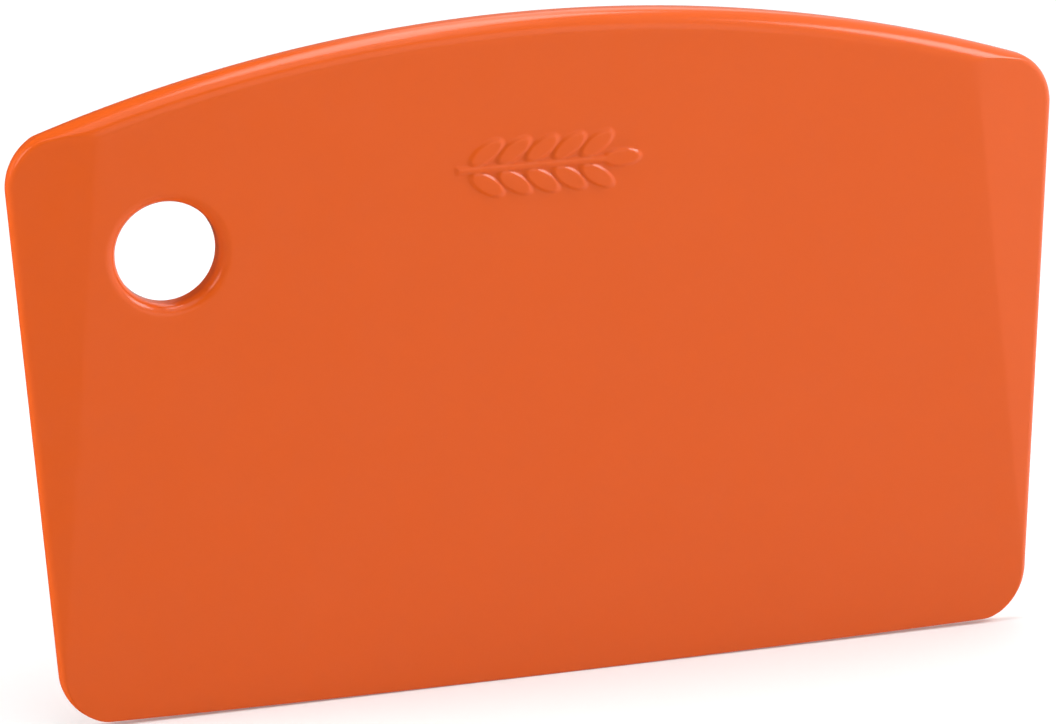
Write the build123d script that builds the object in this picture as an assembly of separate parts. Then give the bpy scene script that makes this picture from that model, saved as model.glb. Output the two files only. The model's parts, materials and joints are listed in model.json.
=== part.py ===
from build123d import *
import math
import os

# Bench scraper, one injection-moulded polypropylene piece, upright in its working position.
# Millimetres.  X runs along the blade, Z is up, the front face looks towards -Y.
# The origin is under the middle of the blade edge.

# ---- outline -------------------------------------------------------------
HEIGHT = 85.0              # blade edge to the crown of the top edge
BLADE_HALF = 63.0          # half width between the side lines, at the blade
SIDE_LEAN = 3.0            # degrees each side leans outward on its way up
TOP_R = 196.0              # arc of the top edge
CORNER_R = 7.0             # all four corners
BLADE_CROWN = 0.6          # the blade bows down by this much between its corners

# ---- thickness -----------------------------------------------------------
TOP_THICK = 6.0            # at the crown of the top edge
BLADE_THICK = 1.8          # at the blade
SIDE_THICK = 2.0           # along the two side edges
FACET_ANGLE = 8.9          # degrees each side facet falls away from the main face

# ---- rounded edges -------------------------------------------------------
GRIP_R = 2.6               # top edge, nearly a full round
RIM_R = 0.95               # side edges and corners
BLADE_R = 0.4              # both lips of the blade

# ---- hanging hole --------------------------------------------------------
HOLE_X = -47.6
HOLE_Z = 59.3
HOLE_R = 6.35
HOLE_LIP_R = 1.5

# ---- raised ear of wheat on the front face -------------------------------
EAR_X = 0.0
EAR_Z = 66.5
EAR_RISE = 0.3             # how far it stands out of the face
EAR_STEM_LENGTH = 20.0
EAR_STEM_WIDTH = 0.8
GRAIN_LONG = 2.4           # half axes of one grain
GRAIN_SHORT = 1.05
GRAIN_TURN = 33.0          # degrees a grain leans away from the stem
GRAIN_OFFSET = 2.0         # from the stem to the middle of a grain
GRAIN_PITCH = 3.5
GRAIN_PAIRS = 5
LAST_GRAIN_INSET = 2.2     # from the end of the stem back to the middle of the last pair
TIP_GRAIN_AHEAD = 1.0      # from the end of the stem on to the middle of the tip grain
EAR_SHIFT = -1.7           # brings the ear, tip grain included, back over EAR_X
EAR_ROOT = 1.0             # how deep the ear is sunk into the plate it is fused with

REACH = 120.0              # longer than the part in any direction
LEAN = math.radians(SIDE_LEAN)
FACE_TILT = math.atan((TOP_THICK - BLADE_THICK) / 2 / HEIGHT)


def half_thickness(z):
    """Half the thickness of the main wedge at a height."""
    return (BLADE_THICK + (TOP_THICK - BLADE_THICK) * z / HEIGHT) / 2


def side_x(z):
    return BLADE_HALF + z * math.tan(LEAN)


def top_meets_side():
    """Where the right side line, carried on, meets the arc of the top edge."""
    centre_z = HEIGHT - TOP_R
    slope = math.tan(LEAN)
    a = 1 + slope ** 2
    b = 2 * (BLADE_HALF * slope - centre_z)
    c = BLADE_HALF ** 2 + centre_z ** 2 - TOP_R ** 2
    z = (-b + math.sqrt(b * b - 4 * a * c)) / (2 * a)
    return side_x(z), z


def sharp_outline():
    """Outline with unrounded corners."""
    x_top, z_top = top_meets_side()
    x_low = side_x(BLADE_CROWN)
    right = Line((x_low, BLADE_CROWN), (x_top, z_top))
    top = ThreePointArc((x_top, z_top), (0, HEIGHT), (-x_top, z_top))
    left = Line((-x_top, z_top), (-x_low, BLADE_CROWN))
    blade = ThreePointArc((-x_low, BLADE_CROWN), (0, 0), (x_low, BLADE_CROWN))
    return make_face([right, top, left, blade])


def rounded_outline():
    face = sharp_outline()
    face = fillet(face.vertices().sort_by(Axis.Y)[:2], CORNER_R)
    return fillet(face.vertices().sort_by(Axis.Y)[-2:], CORNER_R)


def slab(face):
    """The outline carried right through, front to back."""
    return extrude(Plane.XZ * face, amount=REACH, both=True)


def face_edges(shape):
    """Edges that bound the front and back faces, not those that run through the thickness."""
    return [edge for edge in shape.edges() if abs(edge.center().Y) > BLADE_THICK / 4]


def wedge_body():
    """Main wedge: thick at the top, thin at the blade, its top and blade edges rounded."""
    low = half_thickness(0)
    high = half_thickness(REACH)
    section = Polyline((-low, 0), (low, 0), (high, REACH), (-high, REACH), close=True)
    wedge = extrude(Plane.YZ * make_face(section), amount=REACH, both=True)
    body = (slab(sharp_outline()) & wedge).solids()[0]
    grip = [edge for edge in face_edges(body) if edge.center().Z > HEIGHT - BLADE_CROWN]
    body = body.fillet(GRIP_R, grip)
    blade = [edge for edge in face_edges(body) if edge.center().Z < BLADE_CROWN]
    blade = [edge for edge in blade if edge.length > BLADE_HALF]
    return body.fillet(BLADE_R, blade)


def facet_body(side):
    """Everything between the two facet planes of one side, its outline edges rounded."""
    rise = math.tan(math.radians(FACET_ANGLE))
    start = -SIDE_THICK / 2
    end = 2 * REACH
    near = SIDE_THICK / 2 + start * rise
    far = SIDE_THICK / 2 + end * rise
    section = Polyline((start, -near), (start, near), (end, far), (end, -far), close=True)
    across = Plane(
        origin=(side * BLADE_HALF, 0, 0),
        x_dir=(-side * math.cos(LEAN), 0, math.sin(LEAN)),
        z_dir=(side * math.sin(LEAN), 0, math.cos(LEAN)),
    )
    between = extrude(across * make_face(section), amount=REACH, both=True)
    body = (slab(rounded_outline()) & between).solids()[0]
    return body.fillet(RIM_R, face_edges(body))


def bore_hole(body):
    """Hanging hole through the upper left, both lips rounded."""
    circle = Plane.XZ * Pos(HOLE_X, HOLE_Z) * Circle(HOLE_R)
    body = (body - extrude(circle, amount=REACH, both=True)).solids()[0]
    middle = Vector(HOLE_X, 0, HOLE_Z)
    reach = HOLE_R + HOLE_LIP_R
    lips = [edge for edge in face_edges(body) if (edge.center() - middle).length < reach]
    return body.fillet(HOLE_LIP_R, lips)


def ear_of_wheat():
    """Flat outline of the ear, lying along X with its tip to the right."""
    stem_end = EAR_STEM_LENGTH / 2
    first = stem_end - LAST_GRAIN_INSET - GRAIN_PITCH * (GRAIN_PAIRS - 1)
    ear = Rectangle(EAR_STEM_LENGTH, EAR_STEM_WIDTH)
    ear += Pos(stem_end + TIP_GRAIN_AHEAD, 0) * Ellipse(GRAIN_LONG, GRAIN_SHORT)
    for pair in range(GRAIN_PAIRS):
        for up in (1, -1):
            place = Pos(first + pair * GRAIN_PITCH, up * GRAIN_OFFSET)
            ear += place * Rot(0, 0, up * GRAIN_TURN) * Ellipse(GRAIN_LONG, GRAIN_SHORT)
    return Pos(EAR_SHIFT, 0) * ear


def raised_mark():
    """The ear as a low relief standing on the sloping front face."""
    front = Plane(
        origin=(EAR_X, -half_thickness(EAR_Z), EAR_Z),
        x_dir=(1, 0, 0),
        z_dir=(0, -math.cos(FACE_TILT), -math.sin(FACE_TILT)),
    )
    ear = front * ear_of_wheat()
    return extrude(ear, amount=EAR_RISE) + extrude(ear, amount=-EAR_ROOT)


def scraper():
    body = (wedge_body() & facet_body(1) & facet_body(-1)).solids()[0]
    body = bore_hole(body)
    return (body + raised_mark()).solids()[0]


os.makedirs("parts", exist_ok=True)
export_step(scraper(), "parts/scraper_body.step")
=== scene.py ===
import json
import math

import bmesh
import bpy
from mathutils import Matrix, Vector
from mathutils.geometry import delaunay_2d_cdt


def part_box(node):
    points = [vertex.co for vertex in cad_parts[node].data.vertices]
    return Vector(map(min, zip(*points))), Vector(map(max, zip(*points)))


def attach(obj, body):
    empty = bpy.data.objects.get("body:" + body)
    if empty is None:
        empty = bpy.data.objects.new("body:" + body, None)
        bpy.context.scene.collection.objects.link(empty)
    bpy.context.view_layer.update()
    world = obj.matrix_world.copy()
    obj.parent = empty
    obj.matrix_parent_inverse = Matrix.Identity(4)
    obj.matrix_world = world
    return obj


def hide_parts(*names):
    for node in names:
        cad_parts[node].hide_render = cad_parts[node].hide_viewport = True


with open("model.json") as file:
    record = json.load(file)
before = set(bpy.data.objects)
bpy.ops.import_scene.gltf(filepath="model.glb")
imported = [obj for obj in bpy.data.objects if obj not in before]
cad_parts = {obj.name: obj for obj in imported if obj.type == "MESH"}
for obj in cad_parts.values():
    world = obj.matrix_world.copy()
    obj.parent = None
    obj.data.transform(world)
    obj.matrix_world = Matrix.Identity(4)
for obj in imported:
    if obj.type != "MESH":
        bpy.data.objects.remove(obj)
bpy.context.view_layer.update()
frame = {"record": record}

# Bench scraper.  Lengths in this script are millimetres until a mesh or a light is made.
MM = 0.001
NODE = "scraper_body"
MOUNTS = {mount["name"]: mount for mount in frame["record"]["mounts"]}
HOLE = MOUNTS["hanging_hole"]
BOX_LOW, BOX_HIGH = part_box(NODE)

# ---- outline, as in the CAD ----------------------------------------------
HEIGHT = BOX_HIGH.z / MM
BLADE_HALF = 63.0
LEAN = math.radians(3.0)        # each side leans outward on its way up
TOP_R = 196.0
CORNER_R = 7.0
BLADE_CROWN = 0.6

# ---- thickness and rounded edges, as in the CAD --------------------------
TOP_THICK = 6.0
BLADE_THICK = 1.8
SIDE_THICK = 2.0
FACET_RISE = math.tan(math.radians(8.9))
GRIP_R = 2.6
RIM_R = 0.95
BLADE_R = 0.4
CREASE = 0.09                   # how softly a facet runs into the main face

# ---- hanging hole, from the record's mount -------------------------------
HOLE_X = HOLE["pos_m"][0] / MM
HOLE_Z = HOLE["pos_m"][2] / MM
HOLE_R = HOLE["dims"]["r_mm"]
HOLE_LIP_R = 1.5

# ---- raised ear of wheat -------------------------------------------------
EAR_Z = 66.5
EAR_RISE = 0.3
EAR_SHIFT = -1.7
EAR_STEM = (20.0, 0.8)
GRAIN = (2.4, 1.05)             # half axes of one grain
GRAIN_TURN = math.radians(33.0)
GRAIN_OFFSET = 2.0
GRAIN_PITCH = 3.5
GRAIN_PAIRS = 5
LAST_GRAIN_INSET = 2.2          # from the end of the stem back to the last pair
TIP_GRAIN_AHEAD = 1.0           # from the end of the stem on to the tip grain
EAR_SHOULDER = 0.40             # width of the soft slope round the relief
EAR_REACH = (13.6, 4.9)         # half size of the finely meshed patch

# ---- how finely the surface is meshed ------------------------------------
EDGE_STEP = 0.8                 # along the outline
CORNER_STEPS = 26
RIM_DEPTH = 5.0                 # how far in from the outline the rings reach
RIM_RINGS = 26
RIM_CROWDING = 2.2              # above 1, the rings crowd towards the outline
HOLE_STEPS = 144
LIP_RINGS = 10
FLAT_RINGS = (1.12, 1.25, 1.4)  # rings on the flat round the lip, as multiples of the lip's radius
FACE_STEP = 1.6
CREASE_STEP = 1.0               # along each crease
CREASE_ROWS = (-0.7, -0.45, -0.22, 0.0, 0.22, 0.45, 0.7)  # across each crease
EAR_STEP = 0.17
HOLE_CLEARANCE = 0.5            # least gap from a loose point to the hole's last ring
RIM_CLEARANCE = 0.35            # least gap from a loose point to the rim's last ring
RIM_SAMPLE = 8                  # every so many points of that ring say where it runs
FILL_INSIDE = 1                 # tells the triangulation to fill the inside of its edges
SAME_POINT = 1e-6


def side_x(z):
    return BLADE_HALF + z * math.tan(LEAN)


def main_half(z):
    """Half the thickness of the main wedge at a height."""
    return (BLADE_THICK + (TOP_THICK - BLADE_THICK) * z / HEIGHT) / 2


def rounded(height, gap, radius):
    """Height of a face whose edge is rounded, at a gap in from that edge."""
    if gap >= radius:
        return height
    inner = radius - max(gap, 0.0)
    return height - radius + math.sqrt(max(radius * radius - inner * inner, 0.0))


def smooth_min(a, b, width):
    """The lesser of two heights, blended where they are nearly equal."""
    near = max(width - abs(a - b), 0.0) / width
    return min(a, b) - near ** 3 * width / 6


def half_thickness(x, z, rim_gap=RIM_DEPTH):
    """Half the thickness of the body.  rim_gap is the distance in from the rounded outline."""
    top_gap = TOP_R - math.hypot(x, z - HEIGHT + TOP_R)
    blade_gap = z - BLADE_CROWN * (x / BLADE_HALF) ** 2
    main = rounded(rounded(main_half(z), top_gap, GRIP_R), blade_gap, BLADE_R)
    side_gap = (side_x(z) - abs(x)) * math.cos(LEAN)
    facet = rounded(SIDE_THICK / 2 + side_gap * FACET_RISE, rim_gap, RIM_R)
    height = smooth_min(main, facet, CREASE)
    return rounded(height, math.hypot(x - HOLE_X, z - HOLE_Z) - HOLE_R, HOLE_LIP_R)


def grain_places():
    """Middle and turn of every grain, along the stem."""
    stem_end = EAR_STEM[0] / 2
    first = stem_end - LAST_GRAIN_INSET - GRAIN_PITCH * (GRAIN_PAIRS - 1)
    places = [(stem_end + TIP_GRAIN_AHEAD, 0.0, 0.0)]
    for pair in range(GRAIN_PAIRS):
        for up in (1, -1):
            places.append((first + pair * GRAIN_PITCH, up * GRAIN_OFFSET, up * GRAIN_TURN))
    return places


GRAINS = grain_places()


def ear_height(x, z):
    """How far the ear of wheat stands out of the front face."""
    u, v = x - EAR_SHIFT, z - EAR_Z
    inside = min(EAR_STEM[0] / 2 - abs(u), EAR_STEM[1] / 2 - abs(v))
    for middle_u, middle_v, turn in GRAINS:
        along = (u - middle_u) * math.cos(turn) + (v - middle_v) * math.sin(turn)
        across = (v - middle_v) * math.cos(turn) - (u - middle_u) * math.sin(turn)
        inside = max(inside, (1 - math.hypot(along / GRAIN[0], across / GRAIN[1])) * GRAIN[1])
    share = min(max(inside / EAR_SHOULDER + 0.5, 0.0), 1.0)
    return EAR_RISE * share * share * (3 - 2 * share)


def arc(centre, radius, start, end, steps):
    """Points and inward normals along an arc, its last point left to the next piece."""
    made = []
    for i in range(steps):
        a = start + (end - start) * i / steps
        out = Vector((math.cos(a), math.sin(a)))
        made.append((Vector(centre) + out * radius, -out))
    return made


def run(start, end):
    """Points and inward normals along a straight side, going round counter-clockwise."""
    start, end = Vector(start), Vector(end)
    along = (end - start).normalized()
    inward = Vector((-along.y, along.x))
    steps = round((end - start).length / EDGE_STEP)
    return [(start.lerp(end, i / steps), inward) for i in range(steps)]


def corner_centre(out, big_centre_z, big_r, upward):
    """Centre of the corner arc that touches the right side and a long arc, and its turn from there."""
    reach = big_r - CORNER_R
    start = Vector((BLADE_HALF, 0.0)) - out * CORNER_R
    along = Vector((math.sin(LEAN), math.cos(LEAN)))
    to_centre = Vector((0.0, big_centre_z)) - start
    middle = to_centre.dot(along)
    half = math.sqrt(reach ** 2 - (to_centre - along * middle).length_squared)
    centre = start + along * (middle + upward * half)
    return centre, math.atan2(centre.y - big_centre_z, centre.x)


def outline():
    """The rounded outline, counter-clockwise from the lower end of the right side."""
    blade_r = (BLADE_HALF ** 2 + BLADE_CROWN ** 2) / (2 * BLADE_CROWN)
    out = Vector((math.cos(LEAN), -math.sin(LEAN)))
    top_z = HEIGHT - TOP_R
    high, high_turn = corner_centre(out, top_z, TOP_R, 1)
    low, low_turn = corner_centre(out, blade_r, blade_r, -1)
    side_turn = math.atan2(out.y, out.x)
    points = run(low + out * CORNER_R, high + out * CORNER_R)
    points += arc(high, CORNER_R, side_turn, high_turn, CORNER_STEPS)
    top_steps = round(TOP_R * (math.pi - 2 * high_turn) / EDGE_STEP)
    points += arc((0, top_z), TOP_R, high_turn, math.pi - high_turn, top_steps)
    points += arc((-high.x, high.y), CORNER_R, math.pi - high_turn, math.pi - side_turn, CORNER_STEPS)
    mirror = Vector((-1.0, 1.0))
    points += run((high + out * CORNER_R) * mirror, (low + out * CORNER_R) * mirror)
    points += arc((-low.x, low.y), CORNER_R, math.pi - side_turn, math.pi - low_turn, CORNER_STEPS)
    low_steps = round(blade_r * (math.pi + 2 * low_turn) / EDGE_STEP)
    points += arc((0, blade_r), blade_r, math.pi - low_turn, 2 * math.pi + low_turn, low_steps)
    points += arc(low, CORNER_R, low_turn, side_turn, CORNER_STEPS)
    return points


class Shell:
    """One side's plan of points and triangles, which the front and the back share."""

    def __init__(self):
        self.places = []
        self.half = []
        self.triangles = []

    def add(self, x, z, rim_gap=RIM_DEPTH):
        self.places.append((x, z))
        self.half.append(half_thickness(x, z, rim_gap))
        return len(self.places) - 1

    def band(self, outer, inner):
        """Triangles between two closed loops with the same number of points."""
        count = len(outer)
        for i in range(count):
            j = (i + 1) % count
            self.triangles.append((outer[i], outer[j], inner[j]))
            self.triangles.append((outer[i], inner[j], inner[i]))


def rim_loops(shell):
    """Loops that follow the outline inwards over its rounded edge."""
    edge = outline()
    loops = []
    for ring in range(RIM_RINGS + 1):
        gap = RIM_DEPTH * (ring / RIM_RINGS) ** RIM_CROWDING
        loops.append([shell.add(*(place + inward * gap), gap) for place, inward in edge])
    for outer, inner in zip(loops, loops[1:]):
        shell.band(outer, inner)
    return loops


def hole_loops(shell):
    """Loops round the hole, from its wall outwards over the rounded lip."""
    quarter = [math.pi / 2 * ring / LIP_RINGS for ring in range(LIP_RINGS + 1)]
    gaps = [HOLE_LIP_R * (1 - math.cos(a)) for a in quarter]
    gaps += [HOLE_LIP_R * grow for grow in FLAT_RINGS]
    turns = [2 * math.pi * i / HOLE_STEPS for i in range(HOLE_STEPS)]
    loops = []
    for gap in gaps:
        reach = HOLE_R + gap
        ring = [(HOLE_X + reach * math.cos(a), HOLE_Z + reach * math.sin(a)) for a in turns]
        loops.append([shell.add(x, z) for x, z in ring])
    for inner, outer in zip(loops, loops[1:]):
        shell.band(outer, inner)
    return loops


def steps_between(low, high, step):
    count = math.ceil((high - low) / step)
    return [low + (high - low) * i / count for i in range(count + 1)]


def face_points():
    """Loose points inside the rings: a plain grid, rows along the two creases, and the ear."""
    points = []
    half_u, half_v = EAR_REACH
    for x in steps_between(-side_x(HEIGHT), side_x(HEIGHT), FACE_STEP):
        for z in steps_between(0.0, HEIGHT, FACE_STEP):
            if abs(x) > half_u + FACE_STEP / 2 or abs(z - EAR_Z) > half_v + FACE_STEP / 2:
                points.append((x, z))
    for x in steps_between(-half_u, half_u, EAR_STEP):
        points += [(x, z) for z in steps_between(EAR_Z - half_v, EAR_Z + half_v, EAR_STEP)]
    for z in steps_between(0.0, HEIGHT, CREASE_STEP):
        crease_gap = (main_half(z) - SIDE_THICK / 2) / FACET_RISE / math.cos(LEAN)
        for shift in CREASE_ROWS:
            for side in (1, -1):
                points.append((side * (side_x(z) - crease_gap + shift), z))
    return points


def inside_loop(loop):
    """Says whether a point is well inside a convex counter-clockwise loop."""
    edges = [(a, (b - a).normalized()) for a, b in zip(loop, loop[1:] + loop[:1])]

    def inside(x, z, margin):
        return all(way.x * (z - a.y) - way.y * (x - a.x) > margin for a, way in edges)
    return inside


def fill_face(shell, outer, around_hole):
    """Triangulates the main face between the last ring of the rim and the last ring of the hole."""
    outer_loop = [Vector(shell.places[i]) for i in outer]
    inside = inside_loop(outer_loop[::RIM_SAMPLE])
    hole_reach = HOLE_R + HOLE_LIP_R * FLAT_RINGS[-1] + HOLE_CLEARANCE
    kept = []
    for x, z in face_points():
        if math.hypot(x - HOLE_X, z - HOLE_Z) > hole_reach and inside(x, z, RIM_CLEARANCE):
            kept.append(shell.add(x, z))
    members = outer + around_hole + kept
    places = [Vector(shell.places[i]) for i in members]
    count = len(outer)
    edges = [(i, (i + 1) % count) for i in range(count)]
    edges += [(count + i, count + (i + 1) % HOLE_STEPS) for i in range(HOLE_STEPS)]
    _, _, faces, origin, _, _ = delaunay_2d_cdt(places, edges, [], FILL_INSIDE, SAME_POINT)
    on_hole = range(count, count + HOLE_STEPS)
    for face in faces:
        corners = [origin[i][0] for i in face]
        if not all(i in on_hole for i in corners):
            shell.triangles.append(tuple(members[i] for i in corners))


def wall(front, back, flip, faces):
    """Joins a front loop to a back loop."""
    count = len(front)
    for i in range(count):
        j = (i + 1) % count
        quad = (front[i], back[i], back[j], front[j])
        faces.append(quad[::-1] if flip else quad)


def scraper_mesh():
    """Front and back from one plan, joined along the outline and through the hole."""
    shell = Shell()
    rim = rim_loops(shell)
    hole = hole_loops(shell)
    fill_face(shell, rim[-1], hole[-1])
    count = len(shell.places)
    vertices = [(x, -half - ear_height(x, z), z) for (x, z), half in zip(shell.places, shell.half)]
    vertices += [(x, half, z) for (x, z), half in zip(shell.places, shell.half)]
    faces = [tuple(t) for t in shell.triangles]
    faces += [(a + count, c + count, b + count) for a, b, c in shell.triangles]
    wall(rim[0], [i + count for i in rim[0]], False, faces)
    wall(hole[0], [i + count for i in hole[0]], True, faces)
    mesh = bpy.data.meshes.new("scraper")
    mesh.from_pydata([Vector(v) * MM for v in vertices], [], faces)
    mesh.validate()
    solid = bmesh.new()
    solid.from_mesh(mesh)
    bmesh.ops.recalc_face_normals(solid, faces=solid.faces)
    solid.to_mesh(mesh)
    solid.free()
    mesh.shade_smooth()
    mesh.update()
    return mesh


# ---- material ------------------------------------------------------------
ORANGE = (0.712, 0.101, 0.010)
TINT_SPREAD = 0.015             # share by which the orange varies either way
ROUGHNESS = (0.16, 0.21)
PLASTIC_IOR = 1.45
GRAIN_BUMP = 0.00005            # metres, height of the fine cast grain
FLOW_BUMP = 0.0002              # metres, height of the wide, faint unevenness
TINT_NOISE = (90.0, 4.0)        # scale, larger for a finer pattern, and detail
GLOSS_NOISE = (260.0, 3.0)
GRAIN_NOISE = (2600.0, 3.0)
FLOW_NOISE = (70.0, 1.0)


def node(tree, kind, **inputs):
    made = tree.nodes.new(kind)
    for name, value in inputs.items():
        made.inputs[name.replace("_", " ")].default_value = value
    return made


def noise(tree, coordinates, scale, detail):
    made = node(tree, "ShaderNodeTexNoise", Scale=scale, Detail=detail)
    tree.links.new(coordinates, made.inputs["Vector"])
    return made.outputs["Fac"]


def spread(tree, value, low, high):
    """Stretches a noise, which keeps near its middle, from a low to a high value."""
    made = node(tree, "ShaderNodeMapRange", From_Min=0.3, From_Max=0.7, To_Min=low, To_Max=high)
    tree.links.new(value, made.inputs["Value"])
    return made.outputs["Result"]


def orange_plastic():
    """Moulded polypropylene: satin orange with a fine cast grain."""
    material = bpy.data.materials.new("orange_plastic")
    material.use_nodes = True
    tree = material.node_tree
    shader = tree.nodes["Principled BSDF"]
    shader.inputs["IOR"].default_value = PLASTIC_IOR
    coordinates = tree.nodes.new("ShaderNodeTexCoord").outputs["Object"]

    tint = tree.nodes.new("ShaderNodeMix")
    tint.data_type = "RGBA"
    tint.inputs["A"].default_value = (*[c * (1 - TINT_SPREAD) for c in ORANGE], 1)
    tint.inputs["B"].default_value = (*[c * (1 + TINT_SPREAD) for c in ORANGE], 1)
    tree.links.new(noise(tree, coordinates, *TINT_NOISE), tint.inputs["Factor"])
    tree.links.new(tint.outputs["Result"], shader.inputs["Base Color"])

    rough = spread(tree, noise(tree, coordinates, *GLOSS_NOISE), *ROUGHNESS)
    tree.links.new(rough, shader.inputs["Roughness"])

    grain = node(tree, "ShaderNodeBump", Strength=0.10, Distance=GRAIN_BUMP)
    tree.links.new(noise(tree, coordinates, *GRAIN_NOISE), grain.inputs["Height"])
    flow = node(tree, "ShaderNodeBump", Strength=0.12, Distance=FLOW_BUMP)
    tree.links.new(noise(tree, coordinates, *FLOW_NOISE), flow.inputs["Height"])
    tree.links.new(grain.outputs["Normal"], flow.inputs["Normal"])
    tree.links.new(flow.outputs["Normal"], shader.inputs["Normal"])
    return material


def link(name, data):
    made = bpy.data.objects.new(name, data)
    bpy.context.scene.collection.objects.link(made)
    return made


def add_scraper():
    scraper = link("scraper", scraper_mesh())
    scraper.data.materials.append(orange_plastic())
    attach(scraper, "root")
    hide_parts(NODE)


# ---- studio, in metres ---------------------------------------------------
FLOOR_GREY = 0.80
FLOOR_GLOW = (0.16, 1.0)        # under the scraper, and beyond the lamps' reach
FLOOR_GLOW_REACH = (0.35, 0.85)  # where the one starts to turn into the other, and ends
STUDIO_R = 4.0                  # how far the floor reaches
STUDIO_SIDES = 64
BACKDROP_HEIGHT = 3.0
CENTRE = Vector((0.0, 0.0, HEIGHT / 2)) * MM
PANEL_Z = 0.60                  # the ceiling panels over the scraper
PANEL_TURN = math.radians(61.0)
ROOM_LIGHT = (0.053, 1.324)     # from the left half, and from the far right

# ---- camera, in metres ---------------------------------------------------
CAMERA_AZIMUTH = math.radians(-15.42)
CAMERA_ELEVATION = math.radians(15.29)
CAMERA_ROLL = math.radians(-1.54)
CAMERA_DISTANCE = 0.566
CAMERA_TARGET = Vector((0.0, 0.0, 0.0426))
CAMERA_ASIDE = -0.00248         # moved along its own right, to frame the scraper
CAMERA_ABOVE = -0.00187         # moved along its own up
CAMERA_SENSOR = 36.0            # millimetres, as is the lens
CAMERA_LENS = 155.45
CAMERA_CLIP = (0.01, 20.0)


def emission(name, strength):
    material = bpy.data.materials.new(name)
    material.use_nodes = True
    tree = material.node_tree
    glow = node(tree, "ShaderNodeEmission", Color=(1, 1, 1, 1), Strength=strength)
    tree.links.new(glow.outputs["Emission"], tree.nodes["Material Output"].inputs["Surface"])
    return material


def floor_material():
    """Plain pale floor that glows a little, and more beyond the lamps' reach."""
    material = bpy.data.materials.new("floor")
    material.use_nodes = True
    tree = material.node_tree
    shader = tree.nodes["Principled BSDF"]
    shader.inputs["Base Color"].default_value = (FLOOR_GREY, FLOOR_GREY, FLOOR_GREY, 1)
    shader.inputs["Roughness"].default_value = 0.9
    shader.inputs["Specular IOR Level"].default_value = 0.1
    shader.inputs["Emission Color"].default_value = (1, 1, 1, 1)
    place = tree.nodes.new("ShaderNodeTexCoord").outputs["Object"]
    distance = tree.nodes.new("ShaderNodeVectorMath")
    distance.operation = "LENGTH"
    tree.links.new(place, distance.inputs[0])
    near, far = FLOOR_GLOW_REACH
    dim, bright = FLOOR_GLOW
    glow = node(tree, "ShaderNodeMapRange", From_Min=near, From_Max=far, To_Min=dim, To_Max=bright)
    glow.interpolation_type = "SMOOTHSTEP"
    tree.links.new(distance.outputs["Value"], glow.inputs["Value"])
    tree.links.new(glow.outputs["Result"], shader.inputs["Emission Strength"])
    return material


def add_floor():
    """A round floor, and behind it a white backdrop that only the camera sees."""
    turns = [2 * math.pi * i / STUDIO_SIDES for i in range(STUDIO_SIDES)]
    ring = [(STUDIO_R * math.cos(a), STUDIO_R * math.sin(a), BOX_LOW.z) for a in turns]
    mesh = bpy.data.meshes.new("floor")
    mesh.from_pydata(ring, [], [range(len(ring))])
    mesh.materials.append(floor_material())
    floor = link("floor", mesh)
    floor.visible_glossy = False
    high = [(x, y, BACKDROP_HEIGHT) for x, y, _ in ring]
    walls = []
    wall(range(len(ring)), range(len(ring), 2 * len(ring)), True, walls)
    mesh = bpy.data.meshes.new("backdrop")
    mesh.from_pydata(ring + high, [], walls)
    mesh.materials.append(emission("backdrop", 1.0))
    backdrop = link("backdrop", mesh)
    backdrop.visible_diffuse = backdrop.visible_glossy = backdrop.visible_shadow = False


def softbox(name, place, width, height, watts, target=CENTRE):
    """A rectangular soft light at a place, in metres, facing a target."""
    light = bpy.data.lights.new(name, "AREA")
    light.shape = "RECTANGLE"
    light.size, light.size_y = width, height
    light.energy = watts
    lamp = link(name, light)
    lamp.location = place
    lamp.rotation_mode = "QUATERNION"
    lamp.rotation_quaternion = (Vector(target) - Vector(place)).to_track_quat("-Z", "Y")
    return lamp


def direction(azimuth, elevation):
    level = math.cos(elevation)
    return Vector((math.sin(azimuth) * level, -math.cos(azimuth) * level, math.sin(elevation)))


def around(azimuth, elevation, distance):
    """A place seen from the scraper's middle.  Azimuth 0 is straight in front, 90 to its right."""
    return CENTRE + distance * direction(math.radians(azimuth), math.radians(elevation))


def ceiling_panel(name, x, y, length, width, watts):
    """A soft light that faces straight down, turned to run with the top edge's reflection."""
    panel = softbox(name, (x, y, PANEL_Z), length, width, watts, (x, y, 0.0))
    panel.rotation_mode = "XYZ"
    panel.rotation_euler = (0.0, 0.0, PANEL_TURN)


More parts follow.
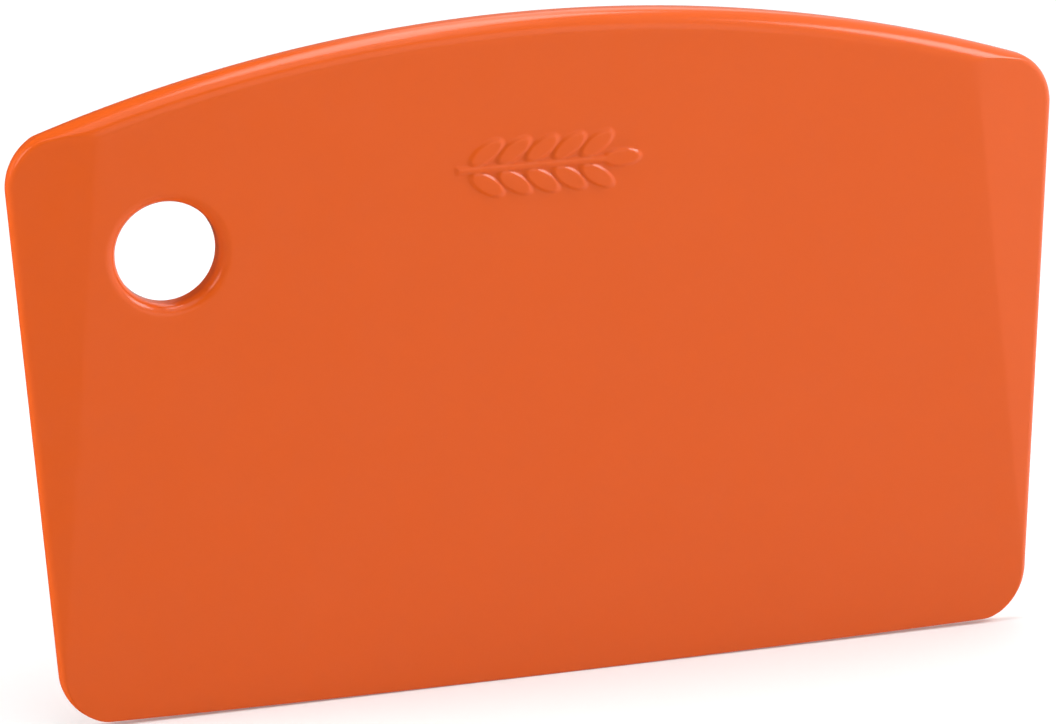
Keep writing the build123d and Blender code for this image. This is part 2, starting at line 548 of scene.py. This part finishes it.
def add_lights():
    """Soft lamps.  The fill stays out of reflections, and the glint shows only in them."""
    ceiling_panel("panel_over", 0.05, 0.03, 0.40, 0.20, 1.25)
    ceiling_panel("panel_behind", 0.06, 0.20, 0.40, 0.16, 0.45)
    ceiling_panel("panel_far", 0.30, 0.67, 0.60, 0.30, 0.81)
    softbox("right_high", around(62, 38, 0.76), 0.34, 0.34, 2.4)
    softbox("front_high", around(-15, 60, 1.3), 1.0, 0.8, 2.65)
    softbox("front", around(10, 15, 1.6), 0.8, 0.8, 1.53)
    fill = softbox("left", around(-95, 20, 1.2), 0.6, 0.8, 13.1)
    fill.visible_glossy = False
    glint = softbox("left_rim", around(-62, 24, 1.2), 0.30, 0.50, 1.6)
    glint.visible_diffuse = False


def add_world():
    """Soft room light that comes mostly from the right."""
    world = bpy.data.worlds.new("studio")
    world.use_nodes = True
    tree = world.node_tree
    heading = tree.nodes.new("ShaderNodeTexCoord").outputs["Generated"]
    split = tree.nodes.new("ShaderNodeSeparateXYZ")
    tree.links.new(heading, split.inputs["Vector"])
    low, high = ROOM_LIGHT
    ramp = node(tree, "ShaderNodeMapRange", From_Min=0.0, From_Max=1.0, To_Min=low, To_Max=high)
    tree.links.new(split.outputs["X"], ramp.inputs["Value"])
    background = tree.nodes["Background"]
    background.inputs["Color"].default_value = (1.0, 1.0, 1.0, 1.0)
    tree.links.new(ramp.outputs["Result"], background.inputs["Strength"])
    bpy.context.scene.world = world


def add_camera():
    """The photograph's viewing angle: from the front left, a little above, turned slightly."""
    back = direction(CAMERA_AZIMUTH, CAMERA_ELEVATION)
    level = Vector((math.cos(CAMERA_AZIMUTH), math.sin(CAMERA_AZIMUTH), 0.0))
    upward = back.cross(level)
    right = level * math.cos(CAMERA_ROLL) + upward * math.sin(CAMERA_ROLL)
    up = upward * math.cos(CAMERA_ROLL) - level * math.sin(CAMERA_ROLL)
    camera = link("camera", bpy.data.cameras.new("camera"))
    camera.data.sensor_width = CAMERA_SENSOR
    camera.data.lens = CAMERA_LENS
    camera.data.clip_start, camera.data.clip_end = CAMERA_CLIP
    camera.matrix_world = Matrix((right, up, back)).transposed().to_4x4()
    aside = right * CAMERA_ASIDE + up * CAMERA_ABOVE
    camera.location = CAMERA_TARGET + back * CAMERA_DISTANCE + aside
    bpy.context.scene.camera = camera


add_scraper()
add_floor()
add_lights()
add_world()
add_camera()
bpy.context.scene.view_settings.view_transform = "Standard"
